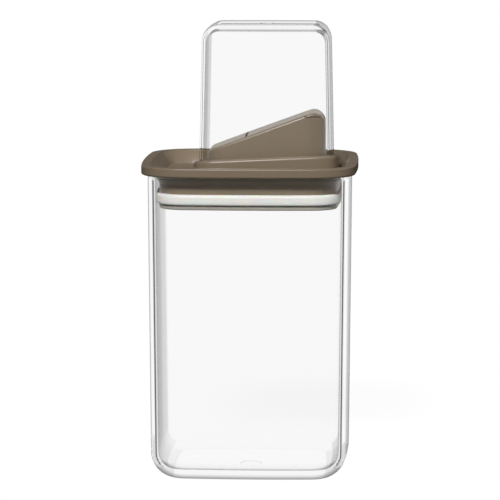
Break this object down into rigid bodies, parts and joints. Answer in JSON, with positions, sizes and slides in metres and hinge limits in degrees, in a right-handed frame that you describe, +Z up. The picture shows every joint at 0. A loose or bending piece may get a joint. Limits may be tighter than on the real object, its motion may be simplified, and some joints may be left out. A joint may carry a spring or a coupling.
{
  "type": "cereal container",
  "caption": "Square clear cereal canister with a plug-in lid, an oblique pouring spout with a flip flap, and an inverted measuring cup as its cap.",
  "frame": {"origin": "middle of the underside of the container, on the table", "axes": "+Z up through the lid, -Y to the front, +X to the side that pours"},
  "size_m": [0.1116, 0.1116, 0.2324],
  "materials": {
    "clear_plastic": "gloss",
    "taupe_plastic": "satin",
    "white_silicone": "satin",
    "grey_plastic": "satin"
  },
  "bodies": {
    "container": {"container": "clear_plastic"},
    "lid": {"lid_tray": "taupe_plastic", "lid_plug": "taupe_plastic", "gasket": "white_silicone", "gasket_retainer": "grey_plastic", "pour_spout": "taupe_plastic"},
    "flap": {"spout_flap": "taupe_plastic", "flap_seal": "white_silicone"},
    "cup": {"measuring_cup": "clear_plastic"}
  },
  "joints": [
    {"name": "lid_lift", "type": "slide", "parent": "container", "child": "lid", "axis": [0, 0, 1], "range_m": [0, 0.045]},
    {"name": "cup_lift", "type": "slide", "parent": "lid", "child": "cup", "axis": [0, 0, 1], "range_m": [0, 0.05]},
    {"name": "flap_hinge", "type": "hinge", "parent": "lid", "child": "flap", "pos_m": [0.0011, 0, 0.17319], "axis": [0, -1, 0], "range_deg": [0, 100]}
  ]
}
